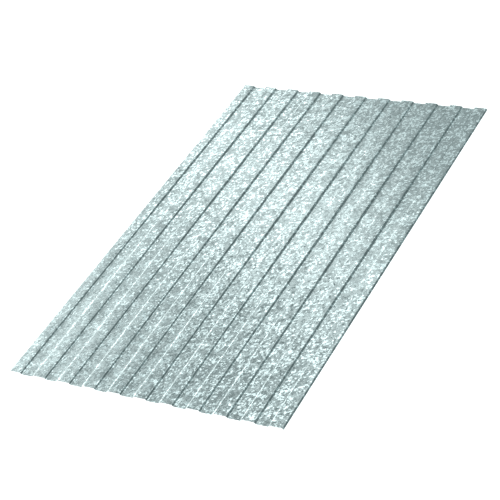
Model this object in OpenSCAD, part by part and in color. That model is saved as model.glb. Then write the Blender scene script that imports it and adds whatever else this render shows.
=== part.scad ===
// Trapezoidal corrugated steel sheet for roofs, walls and fences.
// The ribs run along Y, and the sheet lies on its valleys, ribs up.
// One coil-width blank is roll-formed, so the whole sheet is one solid.
// The origin is at the middle of the sheet, on the plane that the valleys rest on.

/* [Sheet] */
// Length of the sheet, along its ribs
sheet_length = 2000; // [300:10:6000]
// Thickness of the galvanised steel
steel = 0.5; // [0.35:0.05:1.2]
// How many rib pitches one sheet covers
pitch_count = 10; // [2:1:14]
// How much wider than its cover the sheet is, to lap over the next sheet's edge rib
lap_width = 50; // [40:1:60]

/* [Ribs] */
// Distance from one rib to the next
rib_pitch = 115; // [90:1:150]
// Rise of the rib tops over the valleys, measured on the same side of the steel
rib_rise = 8; // [7:0.5:12]
// Width of a rib's top, between the corners that its bends round off
rib_top_width = 52.5; // [35:0.5:60]
// Sideways run of each leaning web, between the same corners
web_run = 5; // [3:0.5:12]
// Radius on the inside of each bend
bend_radius = 5; // [1:0.5:8]

/* [Edges] */
// How far the turned-down lip of the over-lapping edge drops
lip_drop = 6.5; // [3:0.25:7]

/* [Hidden] */

// Straight pieces that stand for the arc of one bend
bend_steps = 6;
half_steel = steel / 2;
mid_bend_radius = bend_radius + half_steel;
// Heights of the middle of the steel, in the valleys and on the ribs
valley_level = half_steel;
rib_level = valley_level + rib_rise;
web_slope = atan2(rib_rise, web_run);

overall_width = pitch_count * rib_pitch + lap_width;
over_edge_x = overall_width / 2;
under_edge_x = -overall_width / 2;
// The lip's outer corner is the outermost point of the over-lapping edge
lip_end_x = over_edge_x - half_steel * sin(web_slope);
last_rib_x = lip_end_x - lip_drop / tan(web_slope) - rib_top_width / 2;
first_rib_x = last_rib_x - pitch_count * rib_pitch;

// Unit vectors along a direction, and square to it on its left
function along(angle) = [cos(angle), sin(angle)];
function left_of(angle) = [-sin(angle), cos(angle)];

// The four corners of rib number k, in the middle of the steel, before they are rounded
function rib_corners(k) =
    let (x = first_rib_x + k * rib_pitch, half_top = rib_top_width / 2)
    [
        [x - half_top - web_run, valley_level],
        [x - half_top, rib_level],
        [x + half_top, rib_level],
        [x + half_top + web_run, valley_level],
    ];

// The folded line through the middle of the steel, from the under-lapping edge to the lip
fold_line = concat(
    [[under_edge_x, rib_level], rib_corners(0)[2], rib_corners(0)[3]],
    [for (k = [1 : pitch_count - 1]) each rib_corners(k)],
    [for (i = [0 : 2]) rib_corners(pitch_count)[i]],
    [[lip_end_x, rib_level - lip_drop]]
);

function heading(i) =
    let (step = fold_line[i + 1] - fold_line[i]) atan2(step.y, step.x);

// The arc that rounds corner i, on the side of the steel that lies offset to the left of its middle
function bend_arc(i, offset) =
    let (
        from = heading(i - 1),
        turn = heading(i) - from,
        radius = sign(turn) * mid_bend_radius,
        start = fold_line[i] - abs(radius * tan(turn / 2)) * along(from),
        centre = start + radius * left_of(from)
    )
    [for (s = [0 : bend_steps]) centre + (offset - radius) * left_of(from + turn * s / bend_steps)];

// One face of the steel, from edge to edge
function face_line(offset) =
    let (last = len(fold_line) - 1)
    concat(
        [fold_line[0] + offset * left_of(heading(0))],
        [for (i = [1 : last - 1]) each bend_arc(i, offset)],
        [fold_line[last] + offset * left_of(heading(last - 1))]
    );

function reversed(points) = [for (i = [len(points) - 1 : -1 : 0]) points[i]];

module cross_section() {
    polygon(concat(face_line(-half_steel), reversed(face_line(half_steel))));
}

module corrugated_sheet() {
    color([0.74, 0.8, 0.8])
        rotate([90, 0, 0])
            linear_extrude(height = sheet_length, center = true)
                cross_section();
}

corrugated_sheet();
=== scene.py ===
"""The looks of a corrugated steel sheet: one roll-formed sheet with a spangled zinc coating.

The sheet is lofted by Geometry Nodes from the same folded section as the construction, and its
flats spring back a little, as rolled steel does. Its finish is procedural and reads Object
coordinates. Lengths are in metres, and angles are in degrees unless a docstring says otherwise.
"""

import logging
import math
from dataclasses import dataclass, field
from enum import Enum

import bpy
from mathutils import Matrix, Vector


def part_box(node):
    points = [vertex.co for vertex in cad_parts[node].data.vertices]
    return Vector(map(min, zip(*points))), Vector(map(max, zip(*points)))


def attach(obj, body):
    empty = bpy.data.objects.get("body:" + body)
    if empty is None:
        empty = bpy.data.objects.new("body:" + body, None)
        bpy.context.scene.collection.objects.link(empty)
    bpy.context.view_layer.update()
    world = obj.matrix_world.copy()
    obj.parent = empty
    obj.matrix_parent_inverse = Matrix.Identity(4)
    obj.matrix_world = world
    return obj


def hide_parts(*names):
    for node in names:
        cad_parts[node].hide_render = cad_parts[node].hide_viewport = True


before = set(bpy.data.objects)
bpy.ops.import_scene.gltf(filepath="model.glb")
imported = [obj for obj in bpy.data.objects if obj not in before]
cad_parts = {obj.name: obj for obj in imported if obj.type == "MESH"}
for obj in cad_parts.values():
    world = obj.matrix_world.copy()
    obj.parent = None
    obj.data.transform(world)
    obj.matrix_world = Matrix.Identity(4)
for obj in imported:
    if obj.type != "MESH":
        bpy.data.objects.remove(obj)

LOG = logging.getLogger("corrugated_sheet")
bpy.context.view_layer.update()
SHEET_NODE = "corrugated_sheet"
ROOT_BODY = "root"
PIECE = "galvanised_sheet"
# The sheet's own attributes: how burnished a point is, and whether a face was cut by the shear
BURNISH = "burnish"
CUT = "cut"
# Where most values of a soft noise lie, between 0 and 1
NOISE_LOW, NOISE_HIGH = 0.3, 0.7
NOISE_MIDDLE = (0.5, 0.5, 0.5)
CORNERS_PER_RIB = 4
MM = 0.001

Colour = tuple[float, float, float]
Socket = bpy.types.NodeSocket
Plug = Socket | float | int | bool | tuple | Vector | str | bpy.types.Material


class Role(Enum):
    """What a surface of the sheet is, which decides its finish."""

    COATED_FACE = "zinc_spangle"
    CUT_EDGE = "sheared_edge"


class Graph:
    """A node tree that is written as nested calls, for geometry and for shaders."""

    def __init__(self, tree: bpy.types.NodeTree) -> None:
        """Wraps an empty node tree.

        Args:
            tree: the tree that the calls add nodes to.
        """
        self.tree = tree

    def add(
        self, kind: str, plugs: dict[str | int, Plug] | None = None, **settings: object
    ) -> bpy.types.Node:
        """Adds one node, sets it up and plugs values or other nodes' sockets into it.

        Args:
            kind: the node's type, as Blender names it.
            plugs: what goes into each input, by the input's name or number.
            settings: the node's own properties.

        Returns:
            The new node.
        """
        node = self.tree.nodes.new(kind)
        for name, value in settings.items():
            setattr(node, name, value)
        for key, value in (plugs or {}).items():
            socket = node.inputs[key]
            if isinstance(value, Socket):
                self.tree.links.new(value, socket)
            else:
                socket.default_value = value
        return node

    def math(self, operation: str, *values: Plug) -> Socket:
        """Returns the result of one Math node on up to three values."""
        return self.add("ShaderNodeMath", dict(enumerate(values)), operation=operation).outputs[0]

    def vector(self, operation: str, *values: Plug) -> Socket:
        """Returns the vector result of one Vector Math node."""
        return self.add("ShaderNodeVectorMath", dict(enumerate(values)), operation=operation).outputs[0]

    def scaled(self, vector: Plug, factor: Plug) -> Socket:
        """Returns a vector times a number."""
        node = self.add("ShaderNodeVectorMath", {"Vector": vector, "Scale": factor}, operation="SCALE")
        return node.outputs[0]

    def combine(self, x: Plug = 0.0, y: Plug = 0.0, z: Plug = 0.0) -> Socket:
        """Returns the vector with these three parts."""
        return self.add("ShaderNodeCombineXYZ", {"X": x, "Y": y, "Z": z}).outputs[0]

    def split(self, vector: Plug) -> tuple[Socket, ...]:
        """Returns the three parts of a vector."""
        return tuple(self.add("ShaderNodeSeparateXYZ", {"Vector": vector}).outputs)

    def same(self, first: Plug, second: Plug) -> Socket:
        """Returns whether two whole numbers are the same."""
        return self.math("COMPARE", first, second, 0.5)

    def noise(self, place: Plug, across: float, detail: float = 2.0) -> bpy.types.Node:
        """Returns a soft random pattern whose patches are this far across."""
        return self.add("ShaderNodeTexNoise", {"Vector": place, "Scale": 1 / across, "Detail": detail})

    def remap(self, value: Plug, low: float, high: float, to_low: float, to_high: float) -> Socket:
        """Carries a value from one range to another, and holds it there.

        Args:
            value: the value to carry.
            low: where the first range starts.
            high: where it ends.
            to_low: what its start becomes.
            to_high: what its end becomes.

        Returns:
            The carried value.
        """
        node = self.add(
            "ShaderNodeMapRange",
            {"Value": value, "From Min": low, "From Max": high, "To Min": to_low, "To Max": to_high},
            clamp=True,
        )
        return node.outputs["Result"]

    def blend(self, factor: Plug, first: Plug, second: Plug) -> Socket:
        """Mixes two colours.

        Args:
            factor: 0 for the first colour, up to 1 for the second.
            first: the first colour.
            second: the second colour.

        Returns:
            The colour between them.
        """
        node = self.add("ShaderNodeMix", {"Factor": factor}, data_type="RGBA")
        for name, value in (("A", first), ("B", second)):
            socket = next(s for s in node.inputs if s.name == name and s.type == "RGBA")
            if isinstance(value, Socket):
                self.tree.links.new(value, socket)
            else:
                socket.default_value = (*value, 1.0)
        return next(s for s in node.outputs if s.type == "RGBA")


def shader_graph(material: bpy.types.Material) -> tuple[Graph, Socket]:
    """Empties a material's tree.

    Args:
        material: the material to set up.

    Returns:
        The graph to build in, and the output socket for the surface's shader.
    """
    material.use_nodes = True
    material.node_tree.nodes.clear()
    graph = Graph(material.node_tree)
    return graph, graph.add("ShaderNodeOutputMaterial").inputs["Surface"]


@dataclass(frozen=True)
class ZincSpangle:
    """Hot-dip zinc: crystals a few millimetres across that each lie and shine their own way.

    Small crystals lie over larger fronds, both a little longer one way. The quiet ground runs from
    dull to middling, and the brightest crystals get a painted glint: a near-white colour in place of
    the light they would mirror. The forming rolls burnish the zinc along
    the bends, which the sheet marks with an attribute.
    """

    name: str = Role.COATED_FACE.value
    dull: Colour = (0.34, 0.37, 0.37)
    middling: Colour = (0.54, 0.58, 0.58)
    # Painted glint: the near-white colour of the brightest crystals, standing in for the light they mirror
    painted_glint: Colour = (0.94, 1.0, 1.0)
    frond: float = 11.5 * MM
    crystal: float = 6.3 * MM
    grain_way: float = 60.0
    grain_stretch: float = 1.25
    ripple: float = 6 * MM
    wander: float = 4 * MM
    cloud: float = 60 * MM
    cloud_tone: float = 0.12
    ground_low: float = 0.1
    ground_high: float = 0.9
    frond_share: float = 0.25
    # Where the painted glint starts and where it is full, on each crystal's glint tone
    glint_from: float = 0.67
    glint_to: float = 0.73
    tilt: float = 0.1
    roughness_low: float = 0.15
    roughness_high: float = 0.3
    burnished_roughness: float = 0.1
    burnished_tilt: float = 0.2

    def crystals(self, graph: Graph, place: Plug, across: float) -> Socket:
        """Returns one random colour for each crystal of this size."""
        cells = graph.add("ShaderNodeTexVoronoi", {"Vector": place, "Scale": 1 / across, "Randomness": 1.0})
        return cells.outputs["Color"]

    def grown(self, graph: Graph, place: Socket) -> Socket:
        """Bends and stretches space, so that crystals have the wavy outlines of real ones.

        Args:
            graph: the material's tree.
            place: the place on the sheet.

        Returns:
            The place that a pattern is looked up at.
        """
        grain = graph.add(
            "ShaderNodeMapping",
            {"Vector": place, "Rotation": (0.0, 0.0, math.radians(self.grain_way)),
             "Scale": (self.grain_stretch, 1.0, 1.0)},
            vector_type="TEXTURE",
        ).outputs[0]
        ripple = graph.noise(grain, self.ripple).outputs["Color"]
        drift = graph.scaled(graph.vector("SUBTRACT", ripple, NOISE_MIDDLE), 2 * self.wander)
        return graph.vector("ADD", grain, drift)

    def colour(self, graph: Graph, place: Socket, frond_tone: Socket, crystal_tone: Socket) -> Socket:
        """Colours the ground by its fronds, and paints a glint on the brightest crystals.

        Args:
            graph: the material's tree.
            place: the place on the sheet.
            frond_tone: a random number for each frond.
            crystal_tone: a random number for each crystal.

        Returns:
            The zinc's colour, with its painted glints.
        """
        cloud = graph.noise(place, self.cloud).outputs["Fac"]
        drift = graph.remap(cloud, NOISE_LOW, NOISE_HIGH, -self.cloud_tone, self.cloud_tone)
        ground_tone = graph.remap(frond_tone, 0.0, 1.0, self.ground_low, self.ground_high)
        ground = graph.blend(graph.math("ADD", ground_tone, drift), self.dull, self.middling)
        # Painted glint: the brightest crystals are coloured near white, in place of the light they would
        # mirror
        from_frond = graph.math("MULTIPLY", frond_tone, self.frond_share)
        from_crystal = graph.math("MULTIPLY", crystal_tone, 1.0 - self.frond_share)
        glint_tone = graph.math("ADD", graph.math("ADD", from_frond, from_crystal), drift)
        glint_share = graph.remap(glint_tone, self.glint_from, self.glint_to, 0.0, 1.0)
        return graph.blend(glint_share, ground, self.painted_glint)

    def build(self) -> bpy.types.Material:
        """Makes the material.

        Returns:
            The finished material.
        """
        material = bpy.data.materials.new(self.name)
        graph, surface = shader_graph(material)
        place = graph.add("ShaderNodeTexCoord").outputs["Object"]
        pattern_place = self.grown(graph, place)
        frond = self.crystals(graph, pattern_place, self.frond)
        crystal = self.crystals(graph, pattern_place, self.crystal)
        frond_tone, _, _ = graph.split(frond)
        crystal_tone, crystal_gloss, _ = graph.split(crystal)

        burnish = graph.add("ShaderNodeAttribute", attribute_name=BURNISH).outputs["Fac"]
        tilt = graph.remap(burnish, 0.0, 1.0, self.tilt, self.tilt * self.burnished_tilt)
        # Each random way is around 0.5 along each axis, so the two together are around 1
        ways = graph.vector("ADD", frond, crystal)
        lean = graph.scaled(graph.vector("SUBTRACT", ways, (1.0, 1.0, 1.0)), tilt)
        outward = graph.add("ShaderNodeNewGeometry").outputs["Normal"]
        leaning = graph.vector("NORMALIZE", graph.vector("ADD", outward, lean))
        roughness = graph.remap(crystal_gloss, 0.0, 1.0, self.roughness_low, self.roughness_high)
        polish = graph.remap(burnish, 0.0, 1.0, 1.0, self.burnished_roughness / self.roughness_high)
        zinc = graph.add(
            "ShaderNodeBsdfPrincipled",
            {"Base Color": self.colour(graph, place, frond_tone, crystal_tone), "Metallic": 1.0,
             "Roughness": graph.math("MULTIPLY", roughness, polish), "Normal": leaning},
        )
        graph.tree.links.new(zinc.outputs["BSDF"], surface)
        return material


@dataclass(frozen=True)
class ShearedEdge:
    """Steel bared by the shear, smooth where the blade cut it and darker where it tore."""

    name: str = Role.CUT_EDGE.value
    smooth: Colour = (0.16, 0.17, 0.18)
    torn: Colour = (0.07, 0.075, 0.08)
    spot: float = 0.4 * MM
    torn_below: float = 0.35
    smooth_above: float = 0.65
    roughness: float = 0.45

    def build(self) -> bpy.types.Material:
        """Makes the material.

        Returns:
            The finished material.
        """
        material = bpy.data.materials.new(self.name)
        graph, surface = shader_graph(material)
        place = graph.add("ShaderNodeTexCoord").outputs["Object"]
        spots = graph.noise(place, self.spot).outputs["Fac"]
        torn_to_smooth = graph.remap(spots, self.torn_below, self.smooth_above, 0.0, 1.0)
        colour = graph.blend(torn_to_smooth, self.torn, self.smooth)
        steel = graph.add(
            "ShaderNodeBsdfPrincipled",
            {"Base Color": colour, "Metallic": 1.0, "Roughness": self.roughness},
        )
        graph.tree.links.new(steel.outputs["BSDF"], surface)
        return material


@dataclass(frozen=True)
class LightTable:
    """A matt white floor that glows enough to hold no shadow."""

    name: str = "studio_white"
    colour: Colour = (0.9, 0.9, 0.9)
    glow: float = 0.7

    def build(self) -> bpy.types.Material:
        """Makes the material.

        Returns:
            The finished material.
        """
        material = bpy.data.materials.new(self.name)
        graph, surface = shader_graph(material)
        panel = graph.add(
            "ShaderNodeBsdfPrincipled",
            {"Base Color": (*self.colour, 1.0), "Roughness": 1.0, "Specular IOR Level": 0.0,
             "Emission Color": (1.0, 1.0, 1.0, 1.0), "Emission Strength": self.glow},
        )
        graph.tree.links.new(panel.outputs["BSDF"], surface)
        return material


@dataclass
class FoldedSection:
    """The section of the sheet: a line through the middle of the steel, folded at sharp corners.

    The corners are rounded later. The section runs from the flat edge, which the next sheet laps
    over, to the lipped edge, which laps over the sheet before. The flat edge and the cut ends are
    trimmed a hair, so that the mesh stays inside the construction's box.
    """

    width: float
    pitch_count: int = 10
    rib_pitch: float = 115 * MM
    rib_rise: float = 8 * MM
    rib_top_width: float = 52.5 * MM
    web_run: float = 5 * MM
    bend_radius: float = 5 * MM
    lip_drop: float = 6.5 * MM
    steel: float = 0.5 * MM
    edge_trim: float = 0.01 * MM

    @property
    def web_slope(self) -> float:
        """The angle of a web from level, in radians."""
        return math.atan2(self.rib_rise, self.web_run)

    @property
    def mid_bend_radius(self) -> float:
        """The radius of a bend in the middle of the steel."""
        return self.bend_radius + self.steel / 2

    @property
    def valley_level(self) -> float:
        """The height of the middle of the steel in the valleys."""
        return self.steel / 2

    @property
    def lip_end_x(self) -> float:
        """Where the lip ends, in the middle of the steel."""
        return self.width / 2 - self.steel / 2 * math.sin(self.web_slope)

    @property
    def first_rib_x(self) -> float:
        """The middle of the rib at the flat edge."""
        last_rib_x = self.lip_end_x - self.lip_drop / math.tan(self.web_slope) - self.rib_top_width / 2
        return last_rib_x - self.pitch_count * self.rib_pitch


@dataclass
class CorrugatedSheet:
    """The sheet itself, lofted along its ribs from the folded section.

    Its flats spring back by up to the spring depth, and by no less than the least share of it. The
    depth comes from a slow noise: it changes over about the spring length along the ribs, and the
    spacing keeps each flat apart from the next in the noise.
    """

    section: FoldedSection
    length: float
    bend_points: int = 8
    flat_points: int = 5
    stations: int = 61
    spring_depth: float = 0.4 * MM
    spring_length: float = 0.25
    spring_least: float = 0.1
    spring_spacing: float = 3.7
    bend_crown: float = 0.25
    seam_share: float = 0.02
    sharp_angle: float = 60.0
    finishes: dict[Role, bpy.types.Material] = field(default_factory=dict)

    def dress(self) -> None:
        """Makes the two finishes that the sheet has."""
        self.finishes[Role.COATED_FACE] = ZincSpangle().build()
        self.finishes[Role.CUT_EDGE] = ShearedEdge().build()

    def sizes(self) -> dict[str, Plug]:
        """Returns the tree's named inputs and their values."""
        s = self.section
        return {
            "Length": self.length - 2 * s.edge_trim,
            "Half Width": s.width / 2 - s.edge_trim,
            "Steel": s.steel,
            "Corner Count": CORNERS_PER_RIB * (s.pitch_count + 1),
            "Rib Pitch": s.rib_pitch,
            "Rib Rise": s.rib_rise,
            "Valley Level": s.valley_level,
            "Half Rib Top": s.rib_top_width / 2,
            "Web Run": s.web_run,
            "Bend Radius": s.mid_bend_radius,
            "First Rib": s.first_rib_x,
            "Lip End": s.lip_end_x,
            "Lip Drop": s.lip_drop,
            "Bend Points": self.bend_points,
            "Flat Points": self.flat_points,
            "Stations": self.stations,
            "Spring Depth": self.spring_depth,
            "Spring Length": self.spring_length,
            "Coated Face": self.finishes[Role.COATED_FACE],
            "Cut Edge": self.finishes[Role.CUT_EDGE],
        }

    def folded_line(self, graph: Graph, size: dict[str, Socket]) -> Socket:
        """Folds a row of points into the section and rounds its bends.

        Every rib has four points: its left foot, both corners of its top, and its right foot. At
        the flat edge the first foot is dropped, and the point after it is the edge itself. At the
        other edge the last foot is the end of the lip.

        Args:
            graph: the geometry tree.
            size: the tree's input sockets, by name.

        Returns:
            The section as a curve in the XZ plane.
        """
        number = graph.add("GeometryNodeInputIndex").outputs[0]
        rib = graph.math("FLOOR", graph.math("DIVIDE", number, CORNERS_PER_RIB))
        corner = graph.math("MODULO", number, CORNERS_PER_RIB)
        # From -1.5 at the left foot to 1.5 at the right one
        off_middle = graph.math("SUBTRACT", corner, (CORNERS_PER_RIB - 1) / 2)
        side = graph.math("SIGN", off_middle)
        is_foot = graph.math("GREATER_THAN", graph.math("ABSOLUTE", off_middle), 1.0)
        reach = graph.math("ADD", size["Half Rib Top"], graph.math("MULTIPLY", is_foot, size["Web Run"]))
        x = graph.math("ADD", size["First Rib"], graph.math("MULTIPLY", rib, size["Rib Pitch"]))
        x = graph.math("ADD", x, graph.math("MULTIPLY", side, reach))
        rib_level = graph.math("ADD", size["Valley Level"], size["Rib Rise"])
        z = graph.math("SUBTRACT", rib_level, graph.math("MULTIPLY", is_foot, size["Rib Rise"]))

        at_flat_edge = graph.same(number, 1.0)
        at_lip = graph.same(number, graph.math("SUBTRACT", size["Corner Count"], 1.0))
        flat_edge = graph.combine(graph.math("MULTIPLY", size["Half Width"], -1.0), 0.0, rib_level)
        lip_end = graph.combine(size["Lip End"], 0.0, graph.math("SUBTRACT", rib_level, size["Lip Drop"]))
        place = graph.combine(x, 0.0, z)
        for here, end in ((at_flat_edge, flat_edge), (at_lip, lip_end)):
            place = graph.add(
                "GeometryNodeSwitch", {"Switch": here, "False": place, "True": end},
                input_type="VECTOR",
            ).outputs[0]

        row = graph.add("GeometryNodeMeshLine", {"Count": size["Corner Count"]}).outputs[0]
        row = graph.add("GeometryNodeSetPosition", {"Geometry": row, "Position": place}).outputs[0]
        row = graph.add(
            "GeometryNodeDeleteGeometry", {"Geometry": row, "Selection": graph.same(number, 0.0)},
            domain="POINT",
        ).outputs[0]
        line = graph.add("GeometryNodeMeshToCurve", {"Mesh": row}).outputs[0]
        line = graph.add(
            "GeometryNodeFilletCurve",
            {"Curve": line, "Count": size["Bend Points"], "Radius": size["Bend Radius"]},
            mode="POLY",
        ).outputs[0]
        return self.with_flat_points(graph, size, line)

    def with_flat_points(self, graph: Graph, size: dict[str, Socket], line: Socket) -> Socket:
        """Adds points along the flats only, so that they can spring back.

        Args:
            graph: the geometry tree.
            size: the tree's input sockets, by name.
            line: the folded section.

        Returns:
            The section with its extra points.
        """
        number = graph.add("GeometryNodeInputIndex").outputs[0]
        place = graph.add("GeometryNodeInputPosition").outputs[0]
        following = graph.add(
            "GeometryNodeSampleIndex",
            {"Geometry": line, "Value": place, "Index": graph.math("ADD", number, 1.0)},
            data_type="FLOAT_VECTOR", domain="POINT", clamp=True,
        ).outputs[0]
        gap = graph.add(
            "ShaderNodeVectorMath", {0: place, 1: following}, operation="DISTANCE"
        ).outputs["Value"]
        is_flat = graph.math("GREATER_THAN", gap, size["Half Rib Top"])
        cuts = graph.math("MULTIPLY", is_flat, size["Flat Points"])
        return graph.add("GeometryNodeSubdivideCurve", {"Curve": line, "Cuts": cuts}).outputs[0]

    def lofted(self, graph: Graph, size: dict[str, Socket], line: Socket) -> Socket:
        """Carries the section along the sheet's length as a grid of faces.

        Args:
            graph: the geometry tree.
            size: the tree's input sockets, by name.
            line: the section as a curve.

        Returns:
            The middle surface of the steel.
        """
        points = graph.add(
            "GeometryNodeAttributeDomainSize", {"Geometry": line}, component="CURVE"
        ).outputs[0]
        grid = graph.add(
            "GeometryNodeMeshGrid", {"Vertices X": points, "Vertices Y": size["Stations"]}
        ).outputs[0]
        number = graph.add("GeometryNodeInputIndex").outputs[0]
        on_line = graph.math("FLOOR", graph.math("DIVIDE", number, size["Stations"]))
        along = graph.math("MODULO", number, size["Stations"])
        place = graph.add("GeometryNodeInputPosition").outputs[0]
        section_point = graph.add(
            "GeometryNodeSampleIndex",
            {"Geometry": line, "Value": place, "Index": on_line},
            data_type="FLOAT_VECTOR", domain="POINT", clamp=True,
        ).outputs[0]
        x, _, z = graph.split(section_point)
        share = graph.math("DIVIDE", along, graph.math("SUBTRACT", size["Stations"], 1.0))
        y = graph.math("MULTIPLY", graph.math("SUBTRACT", share, 0.5), size["Length"])
        flats = self.flats_from_first_rib(graph, size, x)
        crown = self.crown(graph, size, flats)
        burnish = graph.remap(crown, 0.0, self.bend_crown, 1.0, 0.0)
        grid = graph.add(
            "GeometryNodeStoreNamedAttribute", {"Geometry": grid, "Name": BURNISH, "Value": burnish},
            data_type="FLOAT", domain="POINT",
        ).outputs[0]
        off_crown = graph.math("SUBTRACT", 1.0, crown)
        depth = graph.math("MULTIPLY", off_crown, self.swell(graph, size, flats, y))
        z = graph.math("ADD", z, graph.math("MULTIPLY", depth, self.spring_way(graph, size, z)))
        return graph.add(
            "GeometryNodeSetPosition", {"Geometry": grid, "Position": graph.combine(x, y, z)}
        ).outputs[0]

    def flats_from_first_rib(self, graph: Graph, size: dict[str, Socket], x: Socket) -> Socket:
        """Returns how many flats away from the first rib a place is."""
        half_pitch = graph.math("MULTIPLY", size["Rib Pitch"], 0.5)
        return graph.math("DIVIDE", graph.math("SUBTRACT", x, size["First Rib"]), half_pitch)

    def crown(self, graph: Graph, size: dict[str, Socket], flats: Socket) -> Socket:
        """Measures how near a place is to the middle line of its flat.

        Args:
            graph: the geometry tree.
            size: the tree's input sockets, by name.
            flats: how many flats away from the first rib the place is.

        Returns:
            1 along the middle of each flat, falling to 0 at its corners and on the webs.
        """
        half_pitch = graph.math("MULTIPLY", size["Rib Pitch"], 0.5)
        off_middle = graph.math("SUBTRACT", flats, graph.math("ROUND", flats))
        off_middle = graph.math("MULTIPLY", off_middle, half_pitch)
        share = graph.math("DIVIDE", off_middle, size["Half Rib Top"])
        return graph.math("MAXIMUM", graph.math("SUBTRACT", 1.0, graph.math("POWER", share, 2.0)), 0.0)

    def swell(self, graph: Graph, size: dict[str, Socket], flats: Socket, y: Socket) -> Socket:
        """Works out how deep the springback is, which changes slowly along each flat.

        Args:
            graph: the geometry tree.
            size: the tree's input sockets, by name.
            flats: how many flats away from the first rib the place is.
            y: the place along the ribs.

        Returns:
            The depth between the middle of the flat and its corners.
        """
        along = graph.math("DIVIDE", y, size["Spring Length"])
        where = graph.combine(graph.math("MULTIPLY", flats, self.spring_spacing), along, 0.0)
        swell = graph.noise(where, 1.0, detail=1.0).outputs["Fac"]
        share = graph.remap(swell, NOISE_LOW, NOISE_HIGH, self.spring_least, 1.0)
        return graph.math("MULTIPLY", size["Spring Depth"], share)

    def spring_way(self, graph: Graph, size: dict[str, Socket], z: Socket) -> Socket:
        """Works out which way a place springs: ribs crown, and valleys dish.

        The middle line of each flat stays at its level, so the sheet stays inside its own depth.

        Args:
            graph: the geometry tree.
            size: the tree's input sockets, by name.
            z: the height in the section.

        Returns:
            From -1, down, at the level of the rib tops to 1, up, at that of the valleys.
        """
        height = graph.math("DIVIDE", graph.math("SUBTRACT", z, size["Valley Level"]), size["Rib Rise"])
        return graph.math("SUBTRACT", 1.0, graph.math("MULTIPLY", height, 2.0))

    def thickened(self, graph: Graph, size: dict[str, Socket], surface: Socket) -> Socket:
        """Gives the middle surface the steel's thickness, closed all round.

        Args:
            graph: the geometry tree.
            size: the tree's input sockets, by name.
            surface: the middle surface.

        Returns:
            The closed sheet, with its cut ends and sides marked by an attribute.
        """
        outward = graph.add("GeometryNodeInputNormal").outputs[0]
        down = graph.scaled(outward, graph.math("MULTIPLY", size["Steel"], -0.5))
        under = graph.add("GeometryNodeSetPosition", {"Geometry": surface, "Offset": down}).outputs[0]
        raised = graph.add(
            "GeometryNodeExtrudeMesh",
            {"Mesh": under, "Offset": outward, "Offset Scale": size["Steel"], "Individual": False},
            mode="FACES",
        )
        upper = graph.add(
            "GeometryNodeStoreNamedAttribute",
            {"Geometry": raised.outputs["Mesh"], "Name": CUT, "Value": raised.outputs["Side"]},
            data_type="BOOLEAN", domain="FACE",
        ).outputs[0]
        under = graph.add("GeometryNodeFlipFaces", {"Mesh": under}).outputs[0]
        join = graph.add("GeometryNodeJoinGeometry")
        for part in (upper, under):
            graph.tree.links.new(part, join.inputs[0])
        seam = graph.math("MULTIPLY", size["Steel"], self.seam_share)
        closed = graph.add(
            "GeometryNodeMergeByDistance", {"Geometry": join.outputs[0], "Distance": seam}
        ).outputs[0]
        return self.smoothed(graph, closed)

    def smoothed(self, graph: Graph, sheet: Socket) -> Socket:
        """Shades the bends as round and the cut corners as sharp.

        Args:
            graph: the geometry tree.
            sheet: the closed sheet.

        Returns:
            The sheet with its shading set.
        """
        smooth = graph.add("GeometryNodeSetShadeSmooth", {"Geometry": sheet}, domain="FACE").outputs[0]
        fold = graph.add("GeometryNodeInputMeshEdgeAngle").outputs["Unsigned Angle"]
        is_sharp = graph.math("GREATER_THAN", fold, math.radians(self.sharp_angle))
        return graph.add(
            "GeometryNodeSetShadeSmooth",
            {"Geometry": smooth, "Selection": is_sharp, "Shade Smooth": False},
            domain="EDGE",
        ).outputs[0]

    def finished(self, graph: Graph, size: dict[str, Socket], sheet: Socket) -> Socket:
        """Makes the sheet real and gives it its two finishes.

        Args:
            graph: the geometry tree.
            size: the tree's input sockets, by name.
            sheet: the closed sheet, with its cut faces marked.

        Returns:
            The sheet with its materials.
        """
        real = graph.add("GeometryNodeRealizeInstances", {"Geometry": sheet}).outputs[0]
        coated = graph.add(
            "GeometryNodeSetMaterial", {"Geometry": real, "Material": size["Coated Face"]}
        ).outputs[0]
        is_cut = graph.add("GeometryNodeInputNamedAttribute", {"Name": CUT}, data_type="BOOLEAN").outputs[0]
        return graph.add(
            "GeometryNodeSetMaterial",
            {"Geometry": coated, "Selection": is_cut, "Material": size["Cut Edge"]},
        ).outputs[0]

    def loft_tree(self) -> bpy.types.NodeTree:
        """Builds the whole Geometry Nodes tree.

        Returns:
            The tree, with one named input for each size.
        """
        tree = bpy.data.node_groups.new("sheet_loft", "GeometryNodeTree")
        tree.interface.new_socket("Geometry", in_out="INPUT", socket_type="NodeSocketGeometry")
        tree.interface.new_socket("Geometry", in_out="OUTPUT", socket_type="NodeSocketGeometry")
        kinds = {float: "NodeSocketFloat", int: "NodeSocketInt", bpy.types.Material: "NodeSocketMaterial"}
        for name, value in self.sizes().items():
            tree.interface.new_socket(name, in_out="INPUT", socket_type=kinds[type(value)])
        graph = Graph(tree)
        size = {socket.name: socket for socket in graph.add("NodeGroupInput").outputs if socket.name}
        surface = self.lofted(graph, size, self.folded_line(graph, size))
        sheet = self.finished(graph, size, self.thickened(graph, size, surface))
        graph.tree.links.new(sheet, graph.add("NodeGroupOutput").inputs[0])
        return tree

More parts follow.
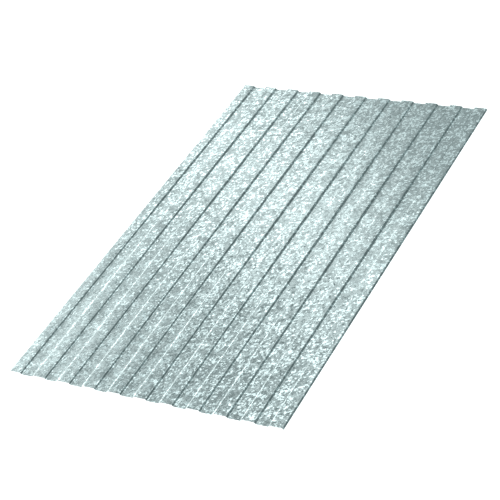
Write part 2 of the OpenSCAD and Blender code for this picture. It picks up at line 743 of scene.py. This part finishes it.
    def build(self) -> bpy.types.Object:
        """Makes the sheet as a plain mesh.

        Returns:
            The sheet's object, at the origin.
        """
        self.dress()
        scaffold = bpy.data.objects.new("sheet_scaffold", bpy.data.meshes.new("sheet_scaffold"))
        bpy.context.scene.collection.objects.link(scaffold)
        modifier = scaffold.modifiers.new("loft", "NODES")
        modifier.node_group = self.loft_tree()
        values = self.sizes()
        for item in modifier.node_group.interface.items_tree:
            if item.in_out == "INPUT" and item.name in values:
                modifier[item.identifier] = values[item.name]
        shaped = scaffold.evaluated_get(bpy.context.evaluated_depsgraph_get())
        mesh = bpy.data.meshes.new_from_object(shaped)
        mesh.name = PIECE
        bpy.data.objects.remove(scaffold)
        sheet = bpy.data.objects.new(PIECE, mesh)
        bpy.context.scene.collection.objects.link(sheet)
        return sheet


@dataclass(frozen=True)
class SoftBox:
    """One rectangular studio light that hangs round the sheet and faces it.

    Its azimuth turns from +Y towards -X. Its width and height are angles, as seen from the sheet.
    """

    name: str
    azimuth: float
    elevation: float
    wide: float
    tall: float
    radiance: float
    tint: Colour = (0.92, 1.0, 1.0)
    distance: float = 6.0

    def span(self, angle: float) -> float:
        """Returns the length that fills an angle at the light's distance."""
        return 2 * self.distance * math.tan(math.radians(angle / 2))

    def build(self) -> bpy.types.Object:
        """Makes the light.

        Returns:
            The light's object.
        """
        lamp = bpy.data.lights.new(self.name, "AREA")
        lamp.shape = "RECTANGLE"
        lamp.size, lamp.size_y = self.span(self.wide), self.span(self.tall)
        lamp.energy = self.radiance * math.pi * lamp.size * lamp.size_y
        lamp.color = self.tint
        light = bpy.data.objects.new(self.name, lamp)
        turn, lift = math.radians(self.azimuth), math.radians(self.elevation)
        out = Vector((-math.sin(turn) * math.cos(lift), math.cos(turn) * math.cos(lift), math.sin(lift)))
        light.location = out * self.distance
        light.rotation_euler = out.to_track_quat("Z", "Y").to_euler()
        light.visible_camera = False
        bpy.context.scene.collection.objects.link(light)
        return light


@dataclass
class Studio:
    """A white light table in a dim room, and the soft boxes that the sheet mirrors.

    The panels are alike, and each is given by its azimuth and its radiance.
    """

    floor_radius: float = 60.0
    floor_sides: int = 96
    room_radiance: float = 0.33
    room_tint: Colour = (0.75, 1.0, 1.02)
    backdrop: float = 1.1
    # Each box has its name, azimuth, elevation, width, height and radiance
    boxes: tuple[SoftBox, ...] = (
        SoftBox("back_strip_top", 30, 38, 8, 14, 0.46),
        SoftBox("back_strip_foot", 41, 26, 11, 18, 0.46),
        SoftBox("back_wall", 30, 32, 24, 20, 0.22),
        SoftBox("back_middle", 35, 37, 12, 7, 0.80),
        SoftBox("back_right", 33, 33, 8, 8, 0.48),
        SoftBox("back_left", 40, 34, 8, 8, 0.12),
        SoftBox("back_foot", 31, 23, 12, 10, 0.30),
        SoftBox("left_edge", 51, 37, 6, 10, 0.42),
        SoftBox("left_near", 59, 38, 5, 8, 0.75),
        SoftBox("left_upper", 63, 31, 22, 16, 0.50),
        SoftBox("left_low", 58, 18, 40, 18, 0.87),
        SoftBox("left_floor", 60, 6, 44, 9, 2.40),
        SoftBox("back_top", 14, 51, 24, 12, 0.95),
        SoftBox("back_scrim", 40, 30, 80, 50, 0.16),
        SoftBox("left_spot", 64, 24, 24, 12, 1.64),
        SoftBox("top_bar", -2, 57, 36, 8, 0.40),
        SoftBox("right_bar", -32, 50, 20, 12, 0.60),
        SoftBox("high_bank", -8, 68, 60, 14, 0.42),
        SoftBox("overhead", 0, 88, 50, 50, 0.80),
        SoftBox("back_fill", -8, 26, 36, 30, 0.28),
    )
    panels: dict[int, float] = field(
        default_factory=lambda: {90: 0.35, 135: 0.6, 180: 0.5, 225: 0.6, 270: 0.45}
    )
    panel_elevation: float = 34.0
    panel_wide: float = 44.0
    panel_tall: float = 52.0

    def fill_panels(self) -> list[SoftBox]:
        """Returns the panels, which light the sides that the main boxes leave dark."""
        return [
            SoftBox(
                f"fill_{azimuth}", azimuth, self.panel_elevation,
                self.panel_wide, self.panel_tall, radiance,
            )
            for azimuth, radiance in self.panels.items()
        ]

    def floor(self) -> bpy.types.Object:
        """Returns a wide round floor, level with the underside of the valleys."""
        mesh = bpy.data.meshes.new("floor")
        step = 2 * math.pi / self.floor_sides
        rim = [
            (self.floor_radius * math.cos(step * i), self.floor_radius * math.sin(step * i), 0.0)
            for i in range(self.floor_sides)
        ]
        mesh.from_pydata(rim, [], [tuple(range(self.floor_sides))])
        mesh.materials.append(LightTable().build())
        floor = bpy.data.objects.new("floor", mesh)
        bpy.context.scene.collection.objects.link(floor)
        return floor

    def room(self) -> None:
        """Sets the world's light and the plain tone curve that keeps a white floor white."""
        world = bpy.data.worlds.new("room")
        bpy.context.scene.world = world
        world.use_nodes = True
        world.node_tree.nodes.clear()
        graph = Graph(world.node_tree)
        walls = graph.add(
            "ShaderNodeBackground", {"Color": (*self.room_tint, 1.0), "Strength": self.room_radiance}
        ).outputs[0]
        seen = graph.add("ShaderNodeBackground", {"Strength": self.backdrop}).outputs[0]
        seen_first = graph.add("ShaderNodeLightPath").outputs["Is Camera Ray"]
        light = graph.add("ShaderNodeMixShader", {0: seen_first, 1: walls, 2: seen}).outputs[0]
        graph.tree.links.new(light, graph.add("ShaderNodeOutputWorld").inputs["Surface"])
        bpy.context.scene.view_settings.view_transform = "Standard"

    def build(self) -> None:
        """Makes the floor, the room and the lights."""
        self.floor()
        self.room()
        for box in [*self.boxes, *self.fill_panels()]:
            box.build()


@dataclass(frozen=True)
class Viewpoint:
    """The camera: a long lens that looks down along the ribs, held at a slant."""

    azimuth: float = 36.63
    elevation: float = 36.5
    roll: float = -15.12
    distance: float = 6.526
    aim: tuple[float, float, float] = (0.0048, -0.115, 0.0085)
    focal_length_mm: float = 116.6
    sensor_mm: float = 36.0
    nearest: float = 0.1
    farthest: float = 200.0

    def build(self) -> bpy.types.Object:
        """Makes the camera and sets it as the scene's own.

        Returns:
            The camera's object.
        """
        lens = bpy.data.cameras.new("camera")
        lens.lens, lens.sensor_width = self.focal_length_mm, self.sensor_mm
        lens.clip_start, lens.clip_end = self.nearest, self.farthest
        camera = bpy.data.objects.new("camera", lens)
        turn = (
            Matrix.Rotation(math.radians(self.azimuth), 4, "Z")
            @ Matrix.Rotation(math.radians(90 - self.elevation), 4, "X")
            @ Matrix.Rotation(math.radians(self.roll), 4, "Z")
        )
        back = turn @ Vector((0, 0, 1))
        camera.matrix_world = Matrix.Translation(Vector(self.aim) + back * self.distance) @ turn
        bpy.context.scene.collection.objects.link(camera)
        bpy.context.scene.camera = camera
        return camera


def main() -> None:
    """Builds the camera, the studio and the sheet, and ties the sheet to the frame."""
    logging.basicConfig(level=logging.INFO, format="%(name)s: %(message)s")
    Viewpoint().build()
    Studio().build()
    low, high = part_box(SHEET_NODE)
    sheet = CorrugatedSheet(FoldedSection(width=high.x - low.x), length=high.y - low.y).build()
    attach(sheet, ROOT_BODY)
    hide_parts(SHEET_NODE)
    LOG.info("%s has %d faces", sheet.name, len(sheet.data.polygons))


if __name__ == "__main__":
    main()
